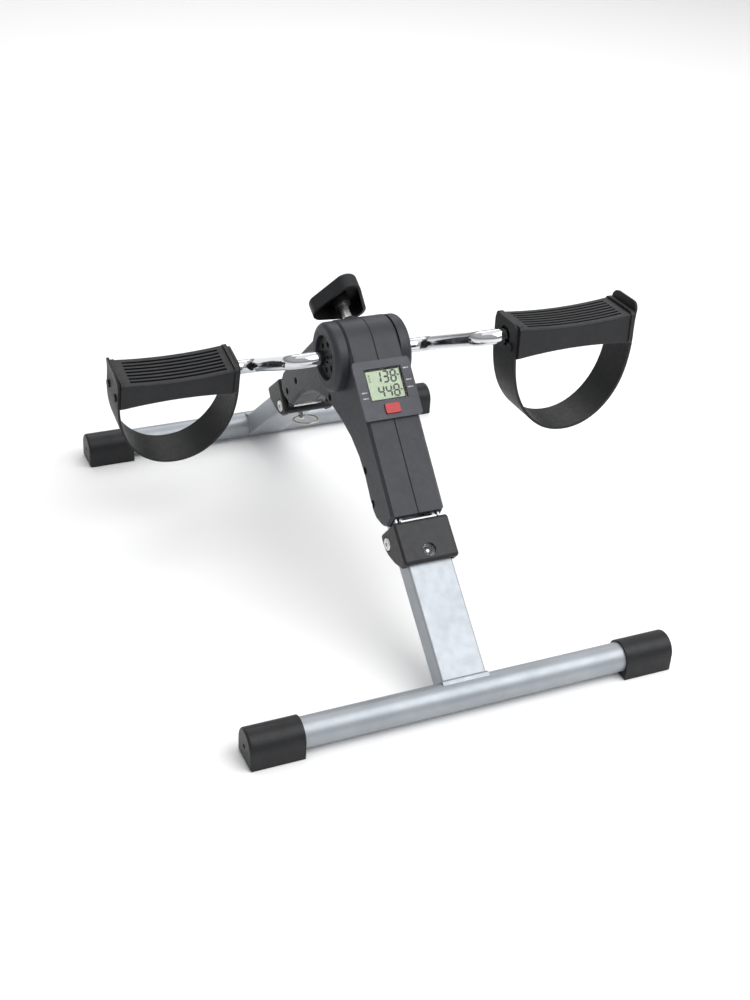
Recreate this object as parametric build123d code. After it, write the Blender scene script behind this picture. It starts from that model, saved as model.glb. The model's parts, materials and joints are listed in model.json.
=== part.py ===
"""Folding pedal exerciser: A-shaped frame, clamshell housing, bent crank with two strap
pedals, tension knob, small display, two fold-in legs on tubular bases.

Axes: +X to the right-hand pedal, +Y to the rear, +Z up.  Origin on the floor, midway
between the two base tubes, on the centre plane.  Millimetres.
"""
from build123d import *
from math import sin, cos, radians, degrees, atan2, hypot, pi, sqrt, acos
import os

os.makedirs("parts", exist_ok=True)

# ----------------------------------------------------------------- driving dimensions
BASE_W = 375.0          # base width over the end caps
BASE_Y = 237.0          # base tube axis, distance from the centre plane
TUBE_R = 12.5           # base tube outer radius
TUBE_WALL = 1.5
TUBE_Z = 14.0           # base tube axis height
CAP_L = 45.0            # end cap length
CAP_R = 14.6            # end cap outer radius
LEG_W, LEG_T, LEG_WALL = 40.0, 20.0, 1.5
PIV_Y, PIV_Z = 126.0, 92.5     # fold pivot
LEG_ANG = 40.0          # leg slope
ARM_ANG = 44.0          # housing arm slope
HUB_Z = 205.0           # crank axis height
DOME_R = 30.5           # housing radius round the crank axis
HALF_W = 24.0           # housing half width
WALL = 2.5
CRANK_R = 6.35          # crank rod radius
THROW = 108.0           # crank throw
THROW_ANG = 27.0        # crank angle above horizontal at rest, right pedal forward
ARM_X = 62.0            # plane of each crank arm
ELBOW = 14.0
SPINDLE_R = 5.0
PED_X0, PED_L = 88.0, 100.0    # tread start and length
PED_W, PED_UP, PED_DN = 40.0, 12.5, 13.5
PED_TILT_R, PED_TILT_L = 2.0, -11.6   # front edge up positive
STRAP_W, STRAP_T = 36.0, 2.2
KNOB_ELEV = 28.0        # tension screw axis above horizontal, leaning rearward
KNOB_R0, KNOB_R1 = 51.0, 66.0  # knob skirt rim and top, from the crank axis
FIT = 0.05              # radial running clearance

# ----------------------------------------------------------------- helpers
def an(a, n, ang):
    """front hinge frame (a up the slope towards the hub, n outward) to (y, z)"""
    c, s = cos(radians(ang)), sin(radians(ang))
    return (-PIV_Y + a * c - n * s, PIV_Z + a * s + n * c)

def prism(pts, x0, x1):
    f = make_face(Polyline(*[(x0, y, z) for y, z in pts], close=True))
    return extrude(f, amount=x1 - x0, dir=(1, 0, 0))

def prism_an(pts, x0, x1, ang=LEG_ANG):
    return prism([an(a, n, ang) for a, n in pts], x0, x1)

def box_an(a0, a1, n0, n1, x0, x1, ang=LEG_ANG):
    return prism_an([(a0, n0), (a1, n0), (a1, n1), (a0, n1)], x0, x1, ang)

def cyl(p0, p1, r):
    v = Vector(*p1) - Vector(*p0)
    pl = Plane(origin=p0, z_dir=v)
    return pl * Cylinder(r, v.length, align=(Align.CENTER, Align.CENTER, Align.MIN))

def cylx(x0, x1, y, z, r):
    return cyl((x0, y, z), (x1, y, z), r)

def cyl_an(a, n0, n1, r, x=0.0, ang=LEG_ANG):
    y0, z0 = an(a, n0, ang); y1, z1 = an(a, n1, ang)
    return cyl((x, y0, z0), (x, y1, z1), r)

def box(x0, x1, y0, y1, z0, z1):
    return Pos((x0 + x1) / 2, (y0 + y1) / 2, (z0 + z1) / 2) * Box(x1 - x0, y1 - y0, z1 - z0)

def rear(s):
    return s.mirror(Plane.XZ)

def save(shape, name):
    sol = shape.solids()
    shp = sol[0] if len(sol) == 1 else Compound(children=list(sol))
    export_step(shp, f"parts/{name}.step")

# ----------------------------------------------------------------- housing outline
def tangent_pts(p, r, upper_left):
    """tangent point on the circle (0, HUB_Z, r) from point p"""
    dy, dz = p[0], p[1] - HUB_Z
    d = hypot(dy, dz)
    base = atan2(dz, dy)
    off = acos(r / d)
    a = base - off if upper_left else base + off
    return (r * cos(a), HUB_Z + r * sin(a))

F_TOP = (-129.5, 120.5)
R_TOP = (124.3, 130.2)
FRONT_END = [(-122.5, 106.5), (-111.0, 100.8), (-99.5, 100.8), (-92.0, 104.6)]
CROTCH = [(-85.0, 111.5), (-72.5, 125.5), (-58.0, 137.0), (-39.5, 146.0), (-20.0, 151.0), (0.0, 153.5),
          (18.3, 153.6), (34.7, 151.0), (53.5, 144.9), (67.8, 137.0), (81.0, 127.0), (91.0, 116.4)]
REAR_END = [(99.0, 108.6), (107.5, 105.6), (118.0, 105.8), (125.6, 110.6), (128.6, 119.2)]
tf = tangent_pts(F_TOP, DOME_R, True)
tr = tangent_pts(R_TOP, DOME_R, False)

def outline():
    pts = [tf, F_TOP] + FRONT_END + CROTCH + REAR_END + [R_TOP, tr]
    f = make_face(Polyline(*[(0, y, z) for y, z in pts], close=True))
    c = make_face(Plane.YZ * Pos(0, HUB_Z, 0) * Circle(DOME_R).edge())
    return (f + c).face()

OUT = outline()

def inner_outline():
    """the outline set in by the wall, made by thinning a slab from its rim"""
    return offset(OUT, amount=-WALL, kind=Kind.INTERSECTION).face()

INN = inner_outline()

def slab(face, x0, x1):
    return Pos(x0, 0, 0) * extrude(face, amount=x1 - x0, dir=(1, 0, 0))

SCREWS = [(-92.3, 111.8), (-73.0, 133.0), (9.0, 161.0), (90.0, 137.2), (110.5, 116.2)]
DISP_A0, DISP_A1, DISP_N = 98.5, 150.0, 23.8

def half(sign):
    x_out, x_in = sign * HALF_W, sign * 0.05
    lo, hi = min(x_out, x_in), max(x_out, x_in)
    body = slab(OUT, lo, hi)
    ci, co = sign * 0.0, sign * (HALF_W - WALL)
    body -= slab(INN, min(ci, co), max(ci, co))
    # outer edges are broken all round, and the seam has a shallow V groove
    rim = body.faces().filter_by(lambda f: abs(f.center().X - x_out) < 1e-3).sort_by(SortBy.AREA)[-1]
    body = chamfer(rim.outer_wire().edges(), 2.4, 2.4)
    seam = body.faces().filter_by(lambda f: abs(f.center().X - x_in) < 1e-3).sort_by(SortBy.AREA)[-1]
    body = chamfer(seam.outer_wire().edges(), 0.5, 0.5)
    # screw bosses
    for (y, z) in SCREWS:
        b0, b1 = sign * 0.05, sign * (HALF_W - 1.0)
        body += cylx(min(b0, b1), max(b0, b1), y, z, 4.6) & slab(OUT, -HALF_W + 0.5, HALF_W - 0.5)
    for (y, z) in SCREWS:
        if sign < 0:
            body -= cylx(-HALF_W - 1, -16.0, y, z, 3.4)
            body -= cylx(-16.5, 0.5, y, z, 1.75)
        else:
            body -= cylx(-0.5, 14.0, y, z, 1.5)
    # crank hub opening
    body -= cylx(-HALF_W - 1 if sign < 0 else 0, 0 if sign < 0 else HALF_W + 1, 0, HUB_Z, 18.2)
    # opening for the display pod
    body -= box_an(DISP_A0 + 2.5, DISP_A1 - 2.5, 17.0, 30.0, -20.6, 20.6, ARM_ANG)
    # opening at the foot of each arm for the steel channel
    body -= box_an(2.0, 32.0, -4.4, 19.6, -20.6, 20.6, ARM_ANG)
    body -= rear(box_an(2.0, 32.0, -4.4, 19.6, -20.6, 20.6, ARM_ANG))
    # hole for the tension screw bush
    e = (0, cos(radians(KNOB_ELEV)), sin(radians(KNOB_ELEV)))
    body -= cyl((0, 20 * e[1], HUB_Z + 20 * e[2]), (0, 40 * e[1], HUB_Z + 40 * e[2]), 7.6)
    # nothing left floating
    return max(body.solids(), key=lambda s: s.volume)

housing_left = half(-1)
housing_right = half(+1)
save(housing_left, "housing_left")
save(housing_right, "housing_right")

scr = []
for (y, z) in SCREWS:
    s = cylx(-20.0, -16.0, y, z, 3.2) + cylx(-16.0, 12.0, y, z, 1.45)
    s -= box(-20.5, -19.0, y - 2.2, y + 2.2, z - 0.4, z + 0.4) + box(-20.5, -19.0, y - 0.4, y + 0.4, z - 2.2, z + 2.2)
    scr.append(s.solids()[0])
save(Compound(children=scr), "housing_screws")

# ----------------------------------------------------------------- hub
def hub_cap(sign):
    x0, x1 = 24.1, 35.0
    c = cylx(x0, x1, 0, HUB_Z, 30.0)
    c = fillet(c.edges().filter_by(lambda e: abs(e.center().X - x1) < 1e-3), 5.0)
    c -= cylx(x0 - 1, x1 + 1, 0, HUB_Z, 18.2)
    c -= cylx(x1 - 5.0, x1 + 1, 0, HUB_Z, 19.5)
    return c if sign > 0 else c.mirror(Plane.YZ)

save(hub_cap(-1), "hub_cap_left")
save(hub_cap(+1), "hub_cap_right")

def bearing(sign):
    b = cylx(14.0, 30.5, 0, HUB_Z, 15.9)
    b += cylx(27.2, 32.0, 0, HUB_Z, 18.0)
    b -= cylx(13.0, 33.0, 0, HUB_Z, CRANK_R + FIT)
    for k in range(6):
        t = radians(60 * k + 30)
        b -= cylx(29.5, 33.0, 11.8 * cos(t), HUB_Z + 11.8 * sin(t), 2.6)
    return b if sign > 0 else b.mirror(Plane.YZ)

save(bearing(-1), "bearing_left")
save(bearing(+1), "bearing_right")

EY, EZ = cos(radians(KNOB_ELEV)), sin(radians(KNOB_ELEV))
def kp(r, t=0.0, x=0.0):
    """point at radius r along the tension screw axis, t across it"""
    return (x, r * EY - t * EZ, HUB_Z + r * EZ + t * EY)

hub_shell = cylx(-27.0, 27.0, 0, HUB_Z, 18.0) - cylx(-28.0, 28.0, 0, HUB_Z, 16.0)
win = prism([kp(0)[1:], kp(30, -30)[1:], kp(30, 30)[1:]], -11.5, 11.5)
hub_shell -= win
save(hub_shell, "hub_shell")

# ----------------------------------------------------------------- steel channels
def channel():
    c = box_an(13.0, 163.0, -2.0, 17.6, -20.0, 20.0, ARM_ANG)
    c -= box_an(12.0, 164.0, -0.2, 19.0, -18.2, 18.2, ARM_ANG)
    c -= cylx(-30, 30, 0, HUB_Z, 18.05)
    c -= prism([(0, 260), (0, 120), (60, 120), (60, 260)], -30, 30)   # stays in its own half
    return c

ch = channel()
ch = max(ch.solids(), key=lambda s: s.volume)
# clearance round the housing screw bosses
for (y, z) in SCREWS:
    ch -= cylx(-30, 30, y, z, 5.2)
ch = max(ch.solids(), key=lambda s: s.volume)
save(ch, "front_frame_channel")
chr_ = channel()
chr_ = rear(max(chr_.solids(), key=lambda s: s.volume))
for (y, z) in SCREWS:
    chr_ -= cylx(-30, 30, y, z, 5.2)
chr_ -= cyl(kp(14), kp(45), 11.0) & box(-11.5, 11.5, -10, 60, 150, 260)
chr_ = max(chr_.solids(), key=lambda s: s.volume)
save(chr_, "rear_frame_channel")

# ----------------------------------------------------------------- hinge (front, mirrored to the rear)
PIN_A = -16.5
def bracket():
    ck = None
    for sg in (-1, 1):
        x0, x1 = (13.6, 16.1) if sg > 0 else (-16.1, -13.6)
        p = cylx(x0, x1, -PIV_Y, PIV_Z, 8.0)
        p += prism_an([(0, -7.9), (12.5, -1.0), (48, 1.5), (48, 15.0), (12, 18.4), (3.0, 18.4), (3.0, 8.0), (0, 8.0)], x0, x1)
        ck = p if ck is None else ck + p
    ck += box_an(3.0, 12.0, 15.6, 18.4, -16.1, 16.1)
    ck += box_an(-24.5, 12.0, 18.4, 20.9, -16.1, 16.1)
    # side lips that weld the cheeks to the channel flanges
    ck += box_an(18.0, 44.0, 2.5, 12.0, 16.0, 18.15) + box_an(18.0, 44.0, 2.5, 12.0, -18.15, -16.0)
    ck -= cylx(-30, 30, -PIV_Y, PIV_Z, 3.05)
    ck -= cyl_an(PIN_A, 17.0, 23.0, 5.2)
    return ck

br = bracket()
# the channel floor is cleared by the bracket cheeks
br -= box_an(10.0, 60.0, -12.0, -0.1, -20.0, 20.0, ARM_ANG) & box_an(12.4, 60, -14, 6, -30, 30)
br = max(br.solids(), key=lambda s: s.volume)
save(br, "front_hinge_bracket")
brr = rear(br)
for (y, z) in SCREWS:
    brr -= cylx(-30, 30, y, z, 5.2)
save(max(brr.solids(), key=lambda s: s.volume), "rear_hinge_bracket")

def cover():
    prof = [(10.5, 24.5), (-26.0, 24.5), (-26.0, 13.0), (-18.0, 2.0), (-9.0, -6.0), (-2.0, -9.5), (6.0, -10.0), (11.0, -9.0)]
    c = prism_an(prof, -24.6, 24.6)
    try:
        c = fillet(c.edges().filter_by(Axis.X), 3.0)
    except Exception:
        pass
    try:
        c = fillet(c.edges().filter_by(lambda e: abs(abs(e.center().X) - 24.6) < 1e-3), 2.4)
    except Exception:
        pass
    # room for the leg and its swing, open below and at the lower end
    c -= prism_an([(7.0, 21.1), (-40.0, 21.1), (-40.0, -30.0), (7.0, -30.0)], -20.6, 20.6)
    # throat for the bracket and channel on the housing side
    c -= box_an(6.0, 14.0, -4.6, 21.1, -20.6, 20.6)
    c -= cylx(-30, 30, -PIV_Y, PIV_Z, 3.05)
    c -= cylx(-26, -22.6, -PIV_Y, PIV_Z, 6.4) + cylx(22.6, 26, -PIV_Y, PIV_Z, 6.4)
    c -= cyl_an(PIN_A, 17.0, 26.0, 5.6)
    return max(c.solids(), key=lambda s: s.volume)

cv = cover()
save(cv, "front_hinge_cover")
save(rear(cv), "rear_hinge_cover")

def pivot_bolt():
    b = cylx(-22.5, 22.5, -PIV_Y, PIV_Z, 3.0)
    head = cylx(-25.6, -22.7, -PIV_Y, PIV_Z, 5.6)
    head = fillet(head.edges().filter_by(lambda e: abs(e.center().X + 25.6) < 1e-3), 1.2)
    head -= Pos(-25.6, -PIV_Y, PIV_Z) * Rot(0, 90, 0) * extrude(RegularPolygon(2.0, 6), amount=1.4)
    b += head + cylx(-22.8, -22.4, -PIV_Y, PIV_Z, 3.0)
    nut = Pos(22.7, -PIV_Y, PIV_Z) * Rot(0, 90, 0) * extrude(RegularPolygon(5.4, 6), amount=2.8)
    b += nut + cylx(22.4, 24.0, -PIV_Y, PIV_Z, 3.0)
    return b

pb = pivot_bolt()
save(pb, "front_pivot_bolt")
save(rear(pb), "rear_pivot_bolt")

# ----------------------------------------------------------------- legs
C0 = (-BASE_Y, TUBE_Z)
LEG_END = -150.0
def leg():
    l = box_an(LEG_END, -9.0, -2.0, 18.0, -20, 20)
    l = fillet(l.edges().filter_by(lambda e: abs(abs(e.center().X) - 20) < 1e-3 and e.length > 60), 2.0)
    l -= box_an(LEG_END - 1, -8.0, -0.5, 16.5, -18.5, 18.5)
    l -= cylx(-40, 40, *C0, TUBE_R + 0.02)
    # the part beyond the base tube is cut away
    far = prism([(C0[0], -40), (C0[0] - 60, -40), (C0[0] - 60, 80), (C0[0], 80)], -40, 40)
    l -= far
    l -= box(-40, 40, -400, 400, -40.0, 2.0)      # the lower wall stops above the floor
    l = max(l.solids(), key=lambda s: s.volume)
    l -= cyl_an(PIN_A, 15.0, 19.0, 4.2)
    l -= box_an(-24.0, -8.0, -3.0, 1.0, -9.0, 9.0)      # notch for the pin guide
    return l

lg = leg()
save(lg, "front_leg")
save(rear(lg), "rear_leg")

def fork():
    f = None
    for sg in (-1, 1):
        x0, x1 = (16.3, 18.45) if sg > 0 else (-18.45, -16.3)
        p = cylx(x0, x1, -PIV_Y, PIV_Z, 8.0)
        p += prism_an([(0, -8.0), (-8.9, -0.45), (-42, -0.45), (-42, 13.5), (-9.0, 13.5), (0, 8.0)], x0, x1)
        f = p if f is None else f + p
    f += box_an(-42, -28, -0.45, 1.6, -18.45, 18.45)   # cross strip joining the two cheeks
    f -= cylx(-30, 30, -PIV_Y, PIV_Z, 3.05)
    return f

fk_ = fork()
save(fk_, "front_leg_fork")
save(rear(fk_), "rear_leg_fork")

def base_tube():
    t = cylx(-BASE_W / 2 + 4.0, BASE_W / 2 - 4.0, *C0, TUBE_R)
    t -= cylx(-BASE_W, BASE_W, *C0, TUBE_R - TUBE_WALL)
    return t

bt = base_tube()
save(bt, "front_base_tube")
save(rear(bt), "rear_base_tube")

def end_cap(sg):
    x1 = BASE_W / 2; x0 = x1 - CAP_L
    y, z = C0
    pr = cylx(x0, x1, y, z, CAP_R)
    pr += box(x0, x1, y - CAP_R, y + CAP_R, 0.0, z)
    pr = (pr - box(x0 - 1, x1 + 1, y - 20, y + 20, -5.0, 0.0)).solids()[0]     # flat foot at floor level
    ed = pr.edges().filter_by(lambda e: abs(e.center().X - x1) < 1e-3)
    try:
        pr = fillet(ed, 2.2)
    except Exception:
        pass
    pr -= cylx(x0 - 1, x1 - 3.9, y, z, TUBE_R + 0.05)
    pr -= cylx(x1 - 5.0, x1 + 1.0, y, z, 2.0)
    return pr if sg > 0 else pr.mirror(Plane.YZ)

caps = Compound(children=[end_cap(-1).solids()[0], end_cap(+1).solids()[0]])
save(caps, "front_end_caps")
save(caps.mirror(Plane.XZ), "rear_end_caps")

def weld():
    """fillet bead on the upper corner between leg and base tube"""
    ring = cylx(-20.5, 20.5, *C0, TUBE_R + 2.2) - cylx(-30, 30, *C0, TUBE_R + 0.03)
    y, z = an(-126.0, 18.0, LEG_ANG)
    up = ring & box_an(-150, -100, 18.03, 20.6, -20.5, 20.5)
    up = max(up.solids(), key=lambda s: s.volume)
    return up

wb = weld()
save(wb, "front_weld_bead")
save(rear(wb), "rear_weld_bead")

# ----------------------------------------------------------------- lock pins, guides, springs, rings
def pin_guide():
    g = cyl_an(PIN_A, -3.6, 5.0, 7.0)
    g += cyl_an(PIN_A, -3.6, -2.1, 8.4)
    g -= cyl_an(PIN_A, -5.0, 6.0, 2.6)
    g -= cyl_an(PIN_A, -1.8, 6.0, 4.9)
    return g

def lock_pin():
    tip = 20.4
    p = cyl_an(PIN_A, 8.0, tip - 3.4, 4.1)
    y, z = an(PIN_A, tip - 4.1, LEG_ANG)
    dome = Pos(0, y, z) * Sphere(4.1)
    dome = dome & cyl_an(PIN_A, tip - 4.5, tip + 1, 4.2)
    p += dome
    p += cyl_an(PIN_A, -12.5, 9.0, 2.5)
    p -= cylx(-10, 10, *an(PIN_A, -9.6, LEG_ANG), 1.6)
    return max(p.solids(), key=lambda s: s.volume)

def pin_spring():
    """closed coil between the guide and the nose shoulder"""
    y0, z0 = an(PIN_A, 1.75, LEG_ANG)
    pl = Plane(origin=(0, y0, z0), x_dir=(1, 0, 0), z_dir=(0, -sin(radians(LEG_ANG)), cos(radians(LEG_ANG))))
    h = Helix(pitch=1.75, height=5.8, radius=3.6)
    prof = Plane(origin=h @ 0, z_dir=h % 0) * Circle(0.4)
    s = sweep(prof, path=h)
    return pl * s

def pull_ring():
    y, z = an(PIN_A, -9.6, LEG_ANG)
    d = radians(-30.0)
    dy, dz = an(PIN_A + 12.0 * cos(d), -9.6 + 12.0 * sin(d), LEG_ANG)
    # torus plane holds X and the direction from the hole to the ring centre
    v = Vector(0, dy - y, dz - z).normalized()
    pl = Plane(origin=(0, dy, dz), x_dir=(1, 0, 0), z_dir=Vector(1, 0, 0).cross(v))
    return pl * Torus(12.0, 0.9)

for side in ("front", "rear"):
    m = (lambda s: s) if side == "front" else rear
    save(m(pin_guide()), f"{side}_pin_guide")
    save(m(lock_pin()), f"{side}_lock_pin")
    save(m(pin_spring()), f"{side}_pin_spring")
    save(m(pull_ring()), f"{side}_pull_ring")

# ----------------------------------------------------------------- crank
ty, tz = THROW * cos(radians(THROW_ANG)), THROW * sin(radians(THROW_ANG))
RY, RZ = -ty, HUB_Z + tz        # right spindle axis
LY, LZ = ty, HUB_Z - tz         # left spindle axis
X_S = 83.0
path = FilletPolyline((-X_S, LY, LZ), (-ARM_X, LY, LZ), (-ARM_X, 0, HUB_Z), (ARM_X, 0, HUB_Z),
                      (ARM_X, RY, RZ), (X_S, RY, RZ), radius=ELBOW)
prof = Plane(origin=(-X_S, LY, LZ), z_dir=(1, 0, 0)) * Circle(CRANK_R)
crank = sweep(prof, path=path)
SP_END = PED_X0 + PED_L - 2.0
crank += cylx(X_S - 0.5, SP_END, RY, RZ, SPINDLE_R) + cylx(-SP_END, -X_S + 0.5, LY, LZ, SPINDLE_R)
save(crank, "crank")

drum = cylx(-10, 10, 0, HUB_Z, 13.8) - cylx(-11, 11, 0, HUB_Z, CRANK_R + 0.01)
save(drum, "brake_drum")
mag = cylx(-13.6, -10.02, 0, HUB_Z - 10.3, 2.0)
save(mag, "speed_magnet")

# ----------------------------------------------------------------- brake shoe, pad, tension screw, knob
def sector(r0, r1, half_deg, x0, x1):
    s = cylx(x0, x1, 0, HUB_Z, r1) - cylx(x0 - 1, x1 + 1, 0, HUB_Z, r0)
    R = 40.0
    c, d = cos(radians(half_deg)), sin(radians(half_deg))
    w = prism([kp(0)[1:], kp(R * c, -R * d)[1:], kp(R * c, R * d)[1:]], x0 - 1, x1 + 1)
    return s & w

pad = sector(15.9, 18.0, 36, -9, 9)
save(pad, "brake_pad")
shoe = sector(18.02, 20.2, 34, -9, 9)
blk = prism([kp(18.4, -6.5)[1:], kp(25.0, -6.5)[1:], kp(25.0, 6.5)[1:], kp(18.4, 6.5)[1:]], -8, 8)
shoe += blk - cylx(-20, 20, 0, HUB_Z, 18.02)
shoe -= cyl(kp(19.6), kp(30), 4.0 + FIT)
save(max(shoe.solids(), key=lambda s: s.volume), "brake_shoe")

screw = cyl(kp(22.6), kp(61.0), 4.0)
save(screw, "tension_screw")
bush = cyl(kp(28.2), kp(34.2), 7.5) - cyl(kp(20), kp(40), 4.0 + FIT)
save(bush, "tension_bush")

def trilobe(rc, rr):
    """rounded triangle, corner centres at rc, corner radius rr"""
    c = [Vector(rc * cos(radians(37 + 120 * k)), rc * sin(radians(37 + 120 * k))) for k in range(3)]
    f = make_face(Polyline(*[(p.X, p.Y) for p in c], close=True))
    return offset(f, amount=rr, kind=Kind.ARC).face()

kpl = Plane(origin=kp(KNOB_R0), x_dir=(1, 0, 0), z_dir=(0, EY, EZ))
H = KNOB_R1 - KNOB_R0
kb = extrude(trilobe(17.0, 10.5), amount=H)
kb = fillet(kb.edges().filter_by(lambda e: abs(e.center().Z - H) < 1e-3), 3.0)
kb -= extrude(trilobe(17.0, 8.0), amount=H - 3.0)
kb += Cylinder(7.0, H - 3.0, align=(Align.CENTER, Align.CENTER, Align.MIN))
kb = kpl * kb
kb -= cyl(kp(40), kp(61.02), 4.01)
save(kb, "tension_knob")

# ----------------------------------------------------------------- display
A = ARM_ANG
bz = box_an(DISP_A0, DISP_A1, DISP_N + 0.08, 26.6, -26.0, 26.0, A)
nrm = Vector(0, -sin(radians(A)), cos(radians(A)))
try:
    bz = fillet(bz.edges().filter_by(lambda e: abs((e.tangent_at(0.5)).dot(nrm)) > 0.99), 3.0)
except Exception:
    pass
bz += box_an(DISP_A0 + 2.7, DISP_A1 - 2.7, 18.6, DISP_N + 0.1, -20.4, 20.4, A)
bz -= box_an(DISP_A0 + 4.2, DISP_A1 - 4.2, 18.0, 24.6, -18.9, 18.9, A)
L0, L1, LX = 114.6, 142.9, 16.9
bz -= box_an(L0, L1, 20.0, 30.0, -LX, LX, A)
B0, B1, BX = 102.4, 111.4, 6.8
bz -= box_an(B0, B1, 20.0, 30.0, -BX, BX, A)
bz = max(bz.solids(), key=lambda s: s.volume)
save(bz, "display_bezel")
save(box_an(L0 + 0.1, L1 - 0.1, 24.8, 25.9, -LX + 0.1, LX - 0.1, A), "display_window")
save(box_an(L0 - 1.0, L1 + 1.0, 22.2, 24.3, -LX - 1.0, LX + 1.0, A), "lcd_panel")
save(box_an(DISP_A0 + 4.6, DISP_A1 - 4.6, 18.8, 20.0, -18.6, 18.6, A) + box_an(104.5, 109.5, 19.9, 20.6, -3, 3, A)
     + box_an(118, 140, 19.9, 22.1, -15, -12, A) + box_an(118, 140, 19.9, 22.1, 12, 15, A), "circuit_board")
bt1 = cyl_an(130.0, 12.6, 18.6, 5.8, x=-8, ang=A)
bt2 = cyl_an(130.0, 12.6, 18.6, 5.8, x=8, ang=A)
save(Compound(children=[bt1.solids()[0], bt2.solids()[0]]), "battery_cells")
btn = box_an(B0 + 0.25, B1 - 0.25, 21.7, 28.0, -BX + 0.25, BX - 0.25, A)
try:
    btn = fillet(btn.edges().filter_by(lambda e: abs((e.tangent_at(0.5)).dot(nrm)) > 0.99), 1.2)
except Exception:
    pass
save(btn, "mode_button")
save(box(-13.6, -10.6, -3.0, 3.0, HUB_Z - 15.7, HUB_Z - 13.4), "speed_sensor")

# ----------------------------------------------------------------- pedals (right-hand set, local frame on the spindle)
def pedal_parts():
    x0, x1 = PED_X0, PED_X0 + PED_L
    # tread block: hollowed top, arched underside
    top_r, mid = 260.0, (x0 + x1) / 2
    t = box(x0, x1, -PED_W / 2, PED_W / 2, -PED_DN, PED_UP)
    t -= cyl((mid, -40, PED_UP - 3.0 + 419.0), (mid, 40, PED_UP - 3.0 + 419.0), 419.0)
    t -= cyl((mid, -40, -PED_DN + 3.0 - 419.0), (mid, 40, -PED_DN + 3.0 - 419.0), 419.0)
    t = fillet(t.edges().filter_by(lambda e: e.length > 70 and abs(e.center().X - mid) < 5), 1.5)
    for k in range(7):
        yc = -13.8 + k * 4.6
        t -= box(x0 + 6, x1 - 6, yc - 1.15, yc + 1.15, PED_UP - 5.2, PED_UP + 5)
    t -= cylx(x0 - 1, x1 + 1, 0, 0, SPINDLE_R + FIT)
    # hollow underside either side of the spindle tube
    for s in (-1, 1):
        ya, yb = sorted((s * 7.6, s * (PED_W / 2 - 2.5)))
        t -= box(x0 + 4, x1 - 4, ya, yb, -PED_DN - 1, PED_UP - 7.4)
    # end plates
    def plate(xa, xb):
        p = box(xa, xb, -PED_W / 2 - 1.0, PED_W / 2 + 1.0, -PED_DN - 1.0, PED_UP + 2.0)
        p = fillet(p.edges().filter_by(Axis.X), 5.0)
        return p
    pin_ = plate(x0 - 3.5, x0 - 0.02) - cylx(x0 - 5, x0 + 1, 0, 0, SPINDLE_R + 0.15)
    po = plate(x1 + 0.02, x1 + 3.5)
    # strap: U band below the tread, its ends standing up against the plates, the outer one taller
    ctrl = [(x0 - 4.7, 15.0), (x0 - 4.7, 6.0), (x0 - 4.7, -3.0), (x0 - 4.75, -11.0), (x0 - 4.2, -22.0), (x0 + 1.5, -48.0), (x0 + 14.0, -68.0), (x0 + 30, -80.0), (x0 + 48.0, -84.0),
            (x0 + 66, -81.0), (x0 + 84.0, -69.0), (x0 + 97.0, -50.0), (x0 + 103.4, -27.0), (x0 + 104.75, -11.0), (x0 + 104.7, -3.0), (x0 + 104.8, 5.0), (x0 + 105.4, 13.0), (x0 + 106.8, 20.5)]
    sp = Spline(*[(x, -STRAP_W / 2, z) for x, z in ctrl], tangents=[(0, 0, -1), (0.22, 0, 1)])
    band = []
    n = 44
    up, dn = [], []
    for i in range(n + 1):
        q = sp @ (i / n); tg = sp % (i / n)
        nx, nz = -tg.Z, tg.X
        up.append((q.X + nx * STRAP_T / 2, -STRAP_W / 2, q.Z + nz * STRAP_T / 2))
        dn.append((q.X - nx * STRAP_T / 2, -STRAP_W / 2, q.Z - nz * STRAP_T / 2))
    w = Wire([Spline(*up).edge(), Polyline(up[-1], dn[-1]).edge(), Spline(*dn[::-1]).edge(), Polyline(dn[0], up[0]).edge()])
    strap = extrude(Face(w), amount=STRAP_W, dir=(0, 1, 0))
    ends = strap.edges().filter_by(lambda e: abs(e.length - STRAP_T) < 0.05)
    strap = fillet(ends, 7.0)
    pegs = []
    for (ya) in (-10.5, 10.5):
        pegs.append((cylx(x0 - 7.4, x0 - 5.9, ya, -6.0, 3.6) + cylx(x0 - 6.0, x0 - 1.0, ya, -6.0, 2.0)).solids()[0])
        pegs.append((cylx(x1 + 5.9, x1 + 7.4, ya, -6.0, 3.6) + cylx(x1 + 1.0, x1 + 6.0, ya, -6.0, 2.0)).solids()[0])
    for ya in (-10.5, 10.5):
        strap -= cylx(x0 - 8, x0 - 2, ya, -6.0, 2.05) + cylx(x1 + 2, x1 + 8, ya, -6.0, 2.05)
        pin_ -= cylx(x0 - 4, x0 + 1, ya, -6.0, 2.01)
        po -= cylx(x1 - 1, x1 + 4, ya, -6.0, 2.01)
    strap -= cylx(x0 - 8, x0 - 2, 0, 0, 8.2)
    strap = max(strap.solids(), key=lambda s: s.volume)
    return dict(tread=t, inner_plate=pin_, outer_plate=po, strap=strap, strap_pegs=Compound(children=pegs))

pp = pedal_parts()
for name, s in pp.items():
    r = Pos(0, RY, RZ) * (Rot(-PED_TILT_R, 0, 0) * s)
    save(r, f"right_pedal_{name}" if name not in ("strap", "strap_pegs") else f"right_{name}")
    l = Pos(0, LY, LZ) * (Rot(-PED_TILT_L, 0, 0) * s.mirror(Plane.YZ))
    save(l, f"left_pedal_{name}" if name not in ("strap", "strap_pegs") else f"left_{name}")
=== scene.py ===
import bpy, bmesh, json, math
from math import sin, cos, radians, pi
from mathutils import Vector, Matrix, noise


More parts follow.
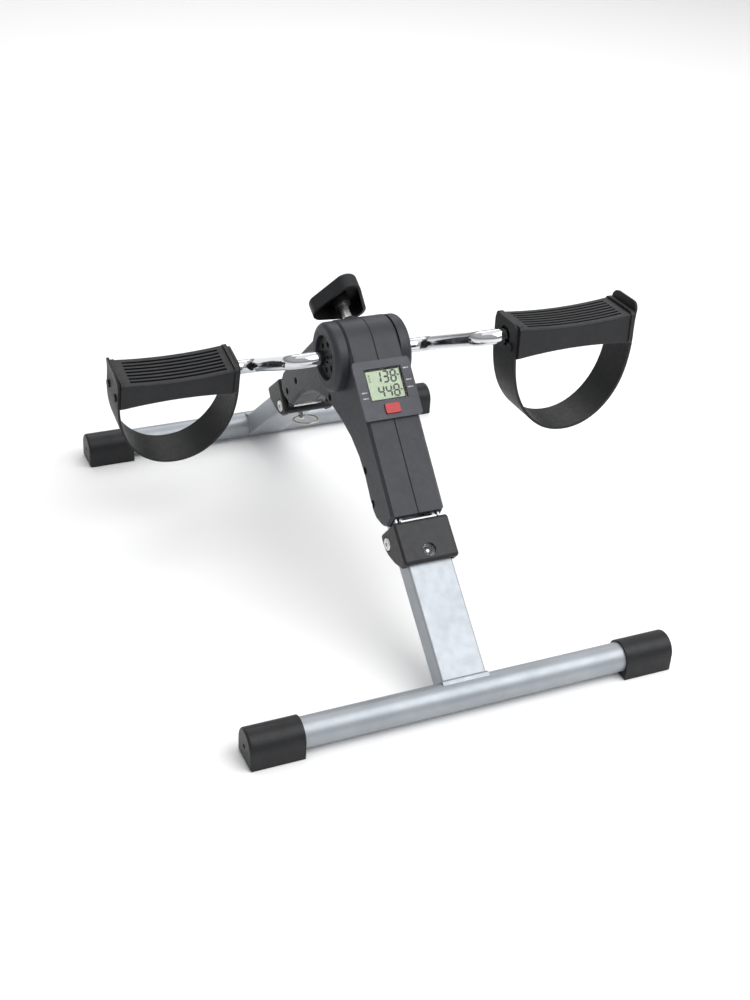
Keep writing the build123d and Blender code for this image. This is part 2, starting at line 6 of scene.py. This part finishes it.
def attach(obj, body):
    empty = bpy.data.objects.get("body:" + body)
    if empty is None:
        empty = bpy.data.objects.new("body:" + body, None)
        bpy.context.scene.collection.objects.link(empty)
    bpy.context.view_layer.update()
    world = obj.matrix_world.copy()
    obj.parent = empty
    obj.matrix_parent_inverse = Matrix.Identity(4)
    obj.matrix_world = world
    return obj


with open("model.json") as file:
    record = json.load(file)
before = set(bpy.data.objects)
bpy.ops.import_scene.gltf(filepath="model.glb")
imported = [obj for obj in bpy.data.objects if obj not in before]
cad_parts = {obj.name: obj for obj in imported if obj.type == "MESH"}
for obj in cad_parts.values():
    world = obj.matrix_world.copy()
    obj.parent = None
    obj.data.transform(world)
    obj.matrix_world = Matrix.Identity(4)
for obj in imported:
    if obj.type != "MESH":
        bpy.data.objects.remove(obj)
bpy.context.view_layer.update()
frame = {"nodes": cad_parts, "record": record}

N = frame["nodes"]

# ------------------------------------------------------------------ materials
def new_mat(name):
    m = bpy.data.materials.new(name)
    m.use_nodes = True
    nt = m.node_tree
    for n in list(nt.nodes):
        nt.nodes.remove(n)
    out = nt.nodes.new("ShaderNodeOutputMaterial")
    b = nt.nodes.new("ShaderNodeBsdfPrincipled")
    nt.links.new(b.outputs[0], out.inputs[0])
    return m, nt, b

def noise_node(nt, co, scale, detail=4.0, rough=0.55, dist=0.0):
    n = nt.nodes.new("ShaderNodeTexNoise")
    n.inputs["Scale"].default_value = scale
    n.inputs["Detail"].default_value = detail
    n.inputs["Roughness"].default_value = rough
    n.inputs["Distortion"].default_value = dist
    nt.links.new(co, n.inputs["Vector"])
    return n.outputs["Fac"]

def ramp(nt, fac, p0, c0, p1, c1):
    r = nt.nodes.new("ShaderNodeValToRGB")
    e = r.color_ramp.elements
    e[0].position, e[1].position = p0, p1
    e[0].color, e[1].color = (*c0, 1), (*c1, 1)
    nt.links.new(fac, r.inputs[0])
    return r.outputs[0]

def mapr(nt, fac, a, b, c, d):
    r = nt.nodes.new("ShaderNodeMapRange")
    r.inputs[1].default_value, r.inputs[2].default_value = a, b
    r.inputs[3].default_value, r.inputs[4].default_value = c, d
    nt.links.new(fac, r.inputs[0])
    return r.outputs[0]

def mix_rgb(nt, fac, a, b):
    m = nt.nodes.new("ShaderNodeMix")
    m.data_type = "RGBA"
    nt.links.new(fac, m.inputs[0])
    nt.links.new(a, m.inputs[6])
    if isinstance(b, tuple):
        m.inputs[7].default_value = (*b, 1)
    else:
        nt.links.new(b, m.inputs[7])
    return m.outputs[2]

def bump(nt, b, h, strength, dist):
    k = nt.nodes.new("ShaderNodeBump")
    k.inputs["Strength"].default_value = strength
    k.inputs["Distance"].default_value = dist
    nt.links.new(h, k.inputs["Height"])
    nt.links.new(k.outputs[0], b.inputs["Normal"])

def surface(name, lo, hi, rough=(0.4, 0.55), metal=0.0, grain=1600.0, bump_s=0.25, bump_d=0.0001,
            blotch=35.0, spec=0.5, coat=0.0, coat_rough=0.2, wear=None, wear_amt=0.0, stretch=None):
    m, nt, b = new_mat(name)
    tc = nt.nodes.new("ShaderNodeTexCoord").outputs["Object"]
    if stretch:
        mp = nt.nodes.new("ShaderNodeMapping")
        mp.inputs["Scale"].default_value = stretch
        nt.links.new(tc, mp.inputs["Vector"])
        tcs = mp.outputs[0]
    else:
        tcs = tc
    big = noise_node(nt, tc, blotch, 5.0, 0.6)
    col = ramp(nt, big, 0.3, lo, 0.7, hi)
    if wear:
        w = noise_node(nt, tcs, 240.0, 8.0, 0.75, 0.4)
        wf = mapr(nt, w, 0.62, 0.78, 0.0, wear_amt)
        col = mix_rgb(nt, wf, col, wear)
    nt.links.new(col, b.inputs["Base Color"])
    mid = noise_node(nt, tcs, blotch * 7.0, 6.0, 0.6)
    nt.links.new(mapr(nt, mid, 0.25, 0.75, rough[0], rough[1]), b.inputs["Roughness"])
    fine = noise_node(nt, tcs, grain, 3.0, 0.6)
    bump(nt, b, fine, bump_s, bump_d)
    b.inputs["Metallic"].default_value = metal
    b.inputs["Specular IOR Level"].default_value = spec
    if coat:
        b.inputs["Coat Weight"].default_value = coat
        b.inputs["Coat Roughness"].default_value = coat_rough
    return m

M = {
 "housing": surface("housing_black", (0.024, 0.0255, 0.031), (0.034, 0.036, 0.043), (0.40, 0.52), grain=2200, bump_s=0.35, bump_d=0.00008, wear=(0.09, 0.09, 0.095), wear_amt=0.25, spec=0.32),
 "bezel": surface("bezel_slate", (0.032, 0.034, 0.045), (0.044, 0.046, 0.060), (0.42, 0.55), grain=2600, bump_s=0.3, bump_d=0.00007, wear=(0.16, 0.16, 0.18), wear_amt=0.2),
 "cover": surface("cover_black", (0.011, 0.0115, 0.013), (0.018, 0.0185, 0.021), (0.36, 0.5), grain=2000, bump_s=0.3, bump_d=0.00008, wear=(0.07, 0.07, 0.075), wear_amt=0.2, spec=0.32),
 "bearing": surface("bearing_black", (0.012, 0.012, 0.013), (0.022, 0.022, 0.024), (0.45, 0.6), grain=1700, spec=0.32),
 "silver": surface("silver_powder", (0.30, 0.325, 0.352), (0.36, 0.385, 0.412), (0.36, 0.50), metal=0.55, grain=2800, bump_s=0.35, bump_d=0.00006, wear=(0.45, 0.46, 0.48), wear_amt=0.18, blotch=22),
 "frame_steel": surface("frame_steel", (0.42, 0.43, 0.45), (0.55, 0.56, 0.58), (0.35, 0.5), metal=0.7, grain=2400, bump_s=0.3, bump_d=0.00006),
 "chrome": surface("chrome", (0.60, 0.61, 0.63), (0.70, 0.71, 0.73), (0.045, 0.11), metal=1.0, grain=900, bump_s=0.05, bump_d=0.00003, blotch=18),
 "zinc": surface("zinc_steel", (0.62, 0.62, 0.62), (0.78, 0.78, 0.77), (0.22, 0.38), metal=1.0, grain=1800, bump_s=0.2, bump_d=0.00005, blotch=120),
 "ring": surface("nickel_wire", (0.50, 0.44, 0.36), (0.66, 0.60, 0.52), (0.2, 0.36), metal=1.0, grain=1500, bump_s=0.1, bump_d=0.00003, blotch=140),
 "knob": surface("knob_black", (0.009, 0.0095, 0.011), (0.016, 0.0165, 0.018), (0.36, 0.5), grain=1900, bump_s=0.35, bump_d=0.0001, wear=(0.06, 0.06, 0.065), wear_amt=0.2, spec=0.32),
 "pedal": surface("pedal_black", (0.0075, 0.008, 0.0095), (0.013, 0.0135, 0.0155), (0.42, 0.58), grain=1500, bump_s=0.4, bump_d=0.00012, wear=(0.08, 0.08, 0.085), wear_amt=0.3, spec=0.32),
 "strap": surface("strap_black", (0.0065, 0.007, 0.008), (0.012, 0.0125, 0.0135), (0.44, 0.62), grain=1300, bump_s=0.45, bump_d=0.00014, wear=(0.07, 0.07, 0.075), wear_amt=0.25, spec=0.32),
 "cap": surface("cap_black", (0.006, 0.0063, 0.0075), (0.013, 0.0135, 0.0155), (0.34, 0.56), grain=700, bump_s=0.5, bump_d=0.00018, blotch=90, wear=(0.08, 0.08, 0.085), wear_amt=0.3, spec=0.32),
 "red": surface("red_key", (0.36, 0.010, 0.012), (0.46, 0.020, 0.020), (0.38, 0.5), grain=1800, bump_s=0.25, bump_d=0.00006, blotch=200),
 "lcd": surface("lcd_glass", (0.40, 0.49, 0.34), (0.46, 0.55, 0.39), (0.22, 0.32), grain=2400, bump_s=0.05, bump_d=0.00002, blotch=120),
 "seg": surface("lcd_segment", (0.010, 0.012, 0.010), (0.02, 0.022, 0.018), (0.3, 0.42), grain=1800, bump_s=0.05, bump_d=0.00002),
 "mark": surface("printed_mark", (0.36, 0.36, 0.38), (0.46, 0.46, 0.47), (0.5, 0.6), grain=2200, bump_s=0.2, bump_d=0.00003),
 "pcb": surface("board_green", (0.02, 0.12, 0.05), (0.04, 0.18, 0.07), (0.35, 0.5), grain=1500),
 "cell": surface("cell_can", (0.6, 0.6, 0.6), (0.75, 0.75, 0.75), (0.2, 0.35), metal=1.0, grain=1500),
 "nylon": surface("nylon_natural", (0.55, 0.52, 0.45), (0.66, 0.63, 0.55), (0.4, 0.55), grain=1500),
 "felt": surface("felt_pad", (0.18, 0.17, 0.155), (0.27, 0.26, 0.24), (0.85, 0.95), grain=2600, bump_s=0.8, bump_d=0.0003, spec=0.2),
 "dark": surface("dark_recess", (0.008, 0.008, 0.009), (0.014, 0.014, 0.015), (0.5, 0.65), grain=1500),
}
mg, ntg, bg = new_mat("clear_window")
tcg = ntg.nodes.new("ShaderNodeTexCoord").outputs["Object"]
sm = noise_node(ntg, tcg, 160.0, 6.0, 0.7)
ntg.links.new(mapr(ntg, sm, 0.35, 0.75, 0.03, 0.12), bg.inputs["Roughness"])
bump(ntg, bg, noise_node(ntg, tcg, 600.0, 2.0), 0.03, 0.00002)
bg.inputs["Transmission Weight"].default_value = 1.0
bg.inputs["IOR"].default_value = 1.12
bg.inputs["Base Color"].default_value = (0.97, 0.99, 0.97, 1)
M["glass"] = mg

SLOT_MAT = {"housing_plastic": "housing", "bearing_plastic": "bearing", "cover_plastic": "cover", "bezel_plastic": "bezel",
            "window": "glass", "lcd": "lcd", "pcb": "pcb", "cell_metal": "cell", "red_plastic": "red", "sensor_plastic": "dark",
            "magnet": "zinc", "chrome_rod": "chrome", "drum_plastic": "nylon", "felt": "felt", "knob_plastic": "knob",
            "silver_paint": "silver", "frame_steel": "frame_steel", "zinc_steel": "zinc", "cap_rubber": "cap", "ring_wire": "ring",
            "pedal_plastic": "pedal", "strap_rubber": "strap"}
node_slot = {s["node"]: s["material_slot"] for s in frame["record"]["subparts"]}
for name, ob in N.items():
    mt = M[SLOT_MAT[node_slot[name]]]
    ob.data.materials.clear()
    ob.data.materials.append(mt)
    for p in ob.data.polygons:
        p.material_index = 0

# ------------------------------------------------------------------ frame helpers, metres
PIV_Y, PIV_Z, HUB_Z = 0.126, 0.0925, 0.205
def an(a, n, ang=40.0, x=0.0, side=1):
    c, s = cos(radians(ang)), sin(radians(ang))
    return Vector((x, side * (-PIV_Y + (a * c - n * s) / 1000), PIV_Z + (a * s + n * c) / 1000))

def mesh_obj(name, verts, faces, body, mat, smooth=True):
    me = bpy.data.meshes.new(name)
    me.from_pydata([tuple(v) for v in verts], [], faces)
    me.validate()
    ob = bpy.data.objects.new(name, me)
    bpy.context.collection.objects.link(ob)
    me.materials.append(mat)
    if smooth:
        for p in me.polygons:
            p.use_smooth = True
    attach(ob, body)
    return ob

def plate_xy(name, polys, n0, n1, body, mat, ang=44.0):
    """thin raised shapes on the display plane; polys are lists of (x mm, a mm)"""
    vs, fs = [], []
    for poly in polys:
        k = len(poly); base = len(vs)
        for n in (n0, n1):
            for x, a in poly:
                vs.append(an(a, n, ang, x / 1000))
        fs.append([base + k + i for i in range(k)])
        fs.append([base + i for i in reversed(range(k))])
        for i in range(k):
            j = (i + 1) % k
            fs.append([base + i, base + j, base + k + j, base + k + i])
    ob = mesh_obj(name, vs, fs, body, mat, smooth=False)
    bm = bmesh.new(); bm.from_mesh(ob.data)
    bmesh.ops.recalc_face_normals(bm, faces=bm.faces)
    bm.to_mesh(ob.data); bm.free()
    return ob

# ------------------------------------------------------------------ seven-segment numbers
SEG = {"1": "bc", "3": "abgcd", "8": "abcdefg", "4": "fgbc"}
def digit(ch, x0, a0, w, h, t=1.6):
    """x to the right, a up; slight lean to the right"""
    out = []
    def P(x, y):
        return (x0 + x + (y - h / 2) * 0.10, a0 + y)
    g = 0.1
    def hseg(y):
        return [P(g, y), P(g + t / 2, y + t / 2), P(w - g - t / 2, y + t / 2), P(w - g, y), P(w - g - t / 2, y - t / 2), P(g + t / 2, y - t / 2)]
    def vseg(x, y0, y1):
        return [P(x, y0 + g), P(x + t / 2, y0 + g + t / 2), P(x + t / 2, y1 - g - t / 2), P(x, y1 - g), P(x - t / 2, y1 - g - t / 2), P(x - t / 2, y0 + g + t / 2)]
    for s in SEG[ch]:
        if s == "a": out.append(hseg(h))
        if s == "g": out.append(hseg(h / 2))
        if s == "d": out.append(hseg(0))
        if s == "f": out.append(vseg(0, h / 2, h))
        if s == "b": out.append(vseg(w, h / 2, h))
        if s == "e": out.append(vseg(0, 0, h / 2))
        if s == "c": out.append(vseg(w, 0, h / 2))
    return out

polys = []
for row, (txt, a0) in enumerate((("138", 130.6), ("448", 117.8))):
    for i, ch in enumerate(txt):
        polys += digit(ch, -7.0 + i * 6.9, a0, 4.3, 9.6)
    polys.append([(12.6, a0 + 4.2), (14.2, a0 + 4.2), (14.2, a0 + 5.8), (12.6, a0 + 5.8)])
for a0 in (132.0, 134.5, 137.0):
    polys.append([(-13.4, a0), (-12.0, a0 + 0.3), (-12.0, a0 + 1.4), (-13.4, a0 + 1.1)])
plate_xy("lcd_digits", polys, 24.33, 24.42, "frame", M["seg"])

def ring_xy(name, x0, x1, a0, a1, t, n0, n1, mat, bev=0.25):
    """a flat rectangular surround with a broken inner edge"""
    out = [(x0, a0), (x1, a0), (x1, a1), (x0, a1)]
    inn = [(x0 + t, a0 + t), (x1 - t, a0 + t), (x1 - t, a1 - t), (x0 + t, a1 - t)]
    inb = [(x0 + t + bev, a0 + t + bev), (x1 - t - bev, a0 + t + bev), (x1 - t - bev, a1 - t - bev), (x0 + t + bev, a1 - t - bev)]
    rings = [(out, n0), (out, n1), (inn, n1), (inb, n1 - bev), (inb, n0)]
    vs = [an(a, n, 44.0, x / 1000) for poly, n in rings for x, a in poly]
    fs = []
    for k in range(5):
        b0, b1 = 4 * k, 4 * ((k + 1) % 5)
        for i in range(4):
            j = (i + 1) % 4
            fs.append([b0 + i, b0 + j, b1 + j, b1 + i])
    ob = mesh_obj(name, vs, fs, "frame", mat, smooth=False)
    bm = bmesh.new(); bm.from_mesh(ob.data)
    bmesh.ops.recalc_face_normals(bm, faces=bm.faces)
    bm.to_mesh(ob.data); bm.free()
    return ob

# black surround just under the clear window
ring_xy("lcd_surround", -16.85, 16.85, 114.65, 142.85, 1.35, 24.31, 24.78, M["dark"])

# printed tick marks either side of the window, in place of words
marks = []
for a0 in (139.5, 129.0, 122.5):
    marks += [[(18.4, a0), (21.6, a0), (21.6, a0 + 1.1), (18.4, a0 + 1.1)], [(22.2, a0), (23.2, a0), (23.2, a0 + 1.1), (22.2, a0 + 1.1)]]
for a0 in (122.5, 117.5):
    marks += [[(-23.4, a0), (-20.2, a0), (-20.2, a0 + 1.1), (-23.4, a0 + 1.1)], [(-19.7, a0), (-18.7, a0), (-18.7, a0 + 1.1), (-19.7, a0 + 1.1)]]
plate_xy("bezel_marks", marks, 26.58, 26.66, "frame", M["mark"])

# ------------------------------------------------------------------ studio
def area(name, loc, target, size, power, col=(1, 1, 1)):
    l = bpy.data.lights.new(name, "AREA")
    l.shape = "RECTANGLE"; l.size, l.size_y = size
    l.energy = power; l.color = col
    o = bpy.data.objects.new(name, l)
    bpy.context.collection.objects.link(o)
    o.location = loc
    o.rotation_mode = "QUATERNION"
    o.rotation_quaternion = (Vector(target) - Vector(loc)).to_track_quat("-Z", "Y")
    return o

area("key", (0.62, -0.98, 1.58), (0, -0.05, 0.15), (1.5, 1.5), 24)
area("fill", (1.8, -0.4, 1.3), (0, 0, 0.15), (1.4, 1.4), 8)
area("back", (0.5, 1.8, 1.7), (0, 0, 0.1), (2.2, 1.2), 15)
area("top", (-0.2, 0.2, 2.3), (0, 0, 0), (2.4, 2.4), 12)

w = bpy.data.worlds.new("studio"); bpy.context.scene.world = w
w.use_nodes = True
bgn = w.node_tree.nodes["Background"]
wt = w.node_tree
gc = wt.nodes.new("ShaderNodeTexCoord")
sx = wt.nodes.new("ShaderNodeSeparateXYZ")
wt.links.new(gc.outputs["Generated"], sx.inputs[0])
wr = wt.nodes.new("ShaderNodeValToRGB")
we = wr.color_ramp.elements
we[0].position, we[0].color = 0.02, (0.55, 0.55, 0.56, 1)
we[1].position, we[1].color = 0.45, (1, 1, 1, 1)
wt.links.new(sx.outputs[2], wr.inputs[0])
wt.links.new(wr.outputs[0], bgn.inputs[0])
bgn.inputs[1].default_value = 0.55

me = bpy.data.meshes.new("studio_floor")
s = 6.0
me.from_pydata([(-s, -s, -0.0005), (s, -s, -0.0005), (s, s, -0.0005), (-s, s, -0.0005)], [], [(0, 1, 2, 3)])
floor = bpy.data.objects.new("studio_floor", me)
bpy.context.collection.objects.link(floor)
fm, fnt, fb = new_mat("floor_pale")
fb.inputs["Base Color"].default_value = (0.95, 0.95, 0.95, 1)
fb.inputs["Roughness"].default_value = 0.9
fb.inputs["Specular IOR Level"].default_value = 0.1
me.materials.append(fm)

# ------------------------------------------------------------------ camera
AZ, EL, ROLL = 0.4458, 0.5526, 0.0656
b = Vector((-sin(AZ) * cos(EL), -cos(AZ) * cos(EL), sin(EL)))
f = -b
right = f.cross(Vector((0, 0, 1))).normalized()
up = right.cross(f)
R2 = right * cos(ROLL) + up * sin(ROLL)
U2 = -right * sin(ROLL) + up * cos(ROLL)
cam = bpy.data.cameras.new("camera")
cam.sensor_width = 36.0
cam.lens = 54.02
cam.clip_start, cam.clip_end = 0.05, 50
co = bpy.data.objects.new("camera", cam)
bpy.context.collection.objects.link(co)
co.matrix_world = Matrix(((R2.x, U2.x, b.x, -0.4819), (R2.y, U2.y, b.y, -1.0537), (R2.z, U2.z, b.z, 0.7724), (0, 0, 0, 1)))
bpy.context.scene.camera = co
bpy.context.scene.view_settings.view_transform = "Standard"
